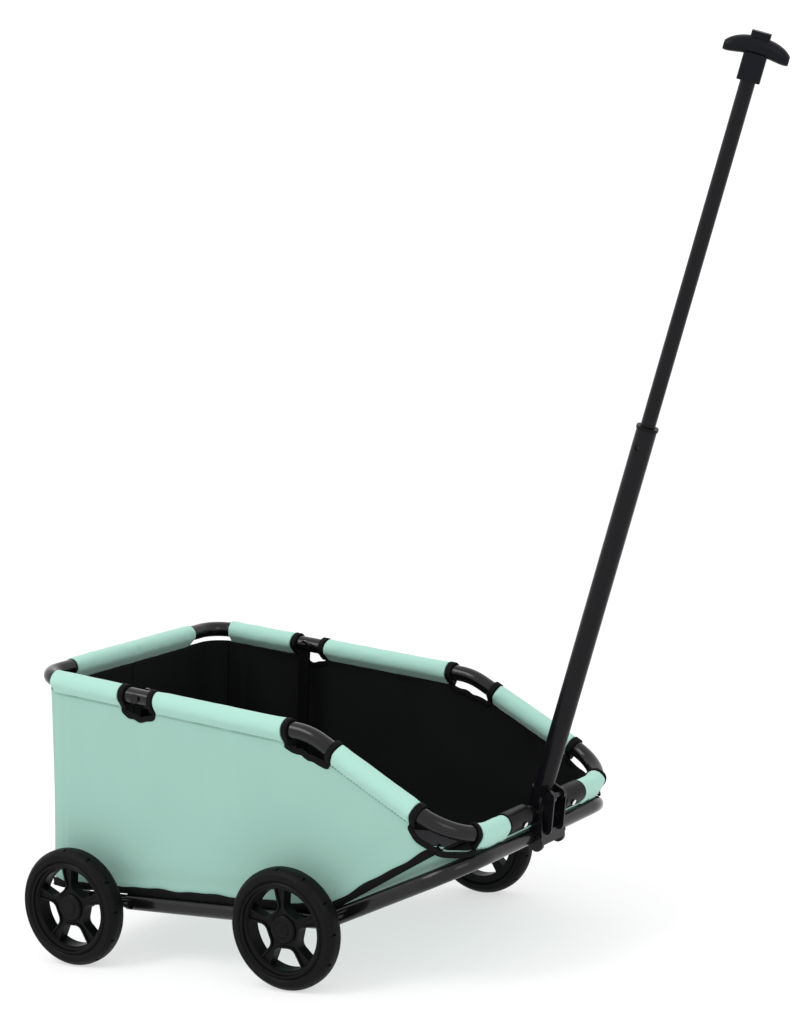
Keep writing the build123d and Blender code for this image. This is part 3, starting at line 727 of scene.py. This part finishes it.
def edge_tapes(side, word):
    """Binding along the dips in the cloth's top edge."""
    made = []
    for k, (first, last, _) in enumerate(BARE_STRETCHES):
        inside = range(first, last + 1, 1)
        tops = [edge_point(i) + 0.8 * UP[i] for i in inside]
        bottoms = [edge_point(i) - 5.6 * UP[i] for i in inside]
        outward = [OUT[i] for i in inside]
        obj = tape(f"edge_tape_{k}_{word}", tops, bottoms, outward, 3.4, side)
        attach(obj, "rim")
        made.append(obj)
    return made


def hem_tape(side, word):
    """Binding along the side panel's lower edge, up to the rim's corner."""
    tops, bottoms, outward = [], [], []
    xs = np.concatenate([np.linspace(HEM_REAR_X, FOLD_LINE_X - 14, 90),
                         np.linspace(FOLD_LINE_X - 12, TIP[0] - 2, 60)])
    for x in xs:
        slope = smooth((x - FOLD_LINE_X + 14) / 28)
        lean = asin((TIP[1] - HEM_Z) / 158) * slope
        across = np.array([-sin(lean), 0, cos(lean)])
        scallop = 0.7 * sin(x * 0.09) + 0.5 * sin(x * 0.17 + 1)
        edge = hem_point(x) + np.array([0, 0.6, 0])
        tops.append(edge + across * (HEM_W - 2.5 + scallop))
        bottoms.append(edge - across * 2.0)
        outward.append(np.array([0, 1, 0.0]))
    tip = edge_point(CORNER_END + 1)
    tops.append(tip + np.array([-3, 0.5, -4]))
    bottoms.append(tip + np.array([4, 0.5, -6]))
    outward.append(np.array([0, 1, 0.0]))
    return follow_fold(tape("hem_tape_" + word, tops, bottoms, outward, 3.6, side))


def make_basket():
    """The basket's sheets, bindings and what they stand for."""
    sides = []
    for side, word in ((1, "left"), (-1, "right")):
        panel = cloth_sheet("side_cloth_" + word, side_grid(), [mint, lining], side, flip=True)
        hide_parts("basket_side_" + word)
        tapes = edge_tapes(side, word)
        hem = hem_tape(side, word)
        follow_fold(panel)
        sides.append(panel)
    rear = cloth_sheet("rear_cloth", rear_grid(), [mint, lining])
    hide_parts("basket_rear")
    front = cloth_sheet("front_cloth", front_grid(), [mint, lining], flip=True)
    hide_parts("basket_front")
    for obj, size in ((rear, (0.33, 0.215)), (front, (0.32, 0.19))):
        follow_fold(obj)
    floor = cloth_sheet("floor_cloth", floor_grid(), [lining, mint], keep=outside_slits)
    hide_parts("basket_floor")
    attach(floor, "base")


# ---------------------------------------------------------------------- stage
CAM_AZIMUTH = radians(33.14)
CAM_HEIGHT_ANGLE = radians(6.08)
CAM_ROLL = radians(-4.34)
CAM_DISTANCE = 2.65457
CAM_AIM = (0.04437, 0.44936)  # right of and above the point under the front axle
CAM_LENS = 87.98


def make_camera():
    """The photograph's viewpoint, from the cart's front right."""
    a, e = CAM_AZIMUTH, CAM_HEIGHT_ANGLE
    back = Vector((sin(a) * cos(e), -cos(a) * cos(e), sin(e)))
    level = Vector((cos(a), sin(a), 0))
    rise = back.cross(level)
    right = level * cos(CAM_ROLL) + rise * sin(CAM_ROLL)
    up = rise * cos(CAM_ROLL) - level * sin(CAM_ROLL)
    aim = Vector((AXLE_X, 0, 0)) + level * CAM_AIM[0] + rise * CAM_AIM[1]
    place = aim + back * CAM_DISTANCE
    camera = bpy.data.objects.new("camera", bpy.data.cameras.new("camera"))
    bpy.context.scene.collection.objects.link(camera)
    turn = Matrix((right, up, back)).transposed()
    camera.matrix_world = Matrix.Translation(place) @ turn.to_4x4()
    camera.data.lens = CAM_LENS
    bpy.context.scene.camera = camera


def area_light(name, place, aim, size, power):
    """A soft square light that looks at a point."""
    data = bpy.data.lights.new(name, "AREA")
    data.size = size
    data.energy = power
    obj = bpy.data.objects.new(name, data)
    bpy.context.scene.collection.objects.link(obj)
    obj.location = place
    obj.rotation_mode = "QUATERNION"
    obj.rotation_quaternion = (Vector(aim) - Vector(place)).to_track_quat("-Z", "Y")


def make_stage():
    """A white floor and backdrop under soft light from the upper left."""
    reach = 14.0
    white, shader, _ = new_material("white_floor", (0.4, 0.4, 0.4), 0.95)
    shader.inputs["Emission Color"].default_value = (1, 1, 1, 1)
    shader.inputs["Emission Strength"].default_value = 0.58
    floor = make_mesh(
        "floor",
        [(-reach, -reach, 0), (reach, -reach, 0), (reach, reach, 0), (-reach, reach, 0)],
        [(0, 1, 2, 3)],
        [white],
    )
    world = bpy.data.worlds.new("studio")
    bpy.context.scene.world = world
    world.use_nodes = True
    world.node_tree.nodes["Background"].inputs["Color"].default_value = (1, 1, 1, 1)
    world.node_tree.nodes["Background"].inputs["Strength"].default_value = 1.1
    area_light("key", (-1.1, -1.7, 2.3), (-0.1, 0, 0.2), 1.3, 26)
    area_light("fill", (2.0, -1.2, 1.4), (0, 0, 0.3), 1.2, 8)
    bpy.context.scene.view_settings.view_transform = "Standard"


dress_frame()
make_sleeves()
make_grip()
make_screws()
make_basket()
make_camera()
make_stage()
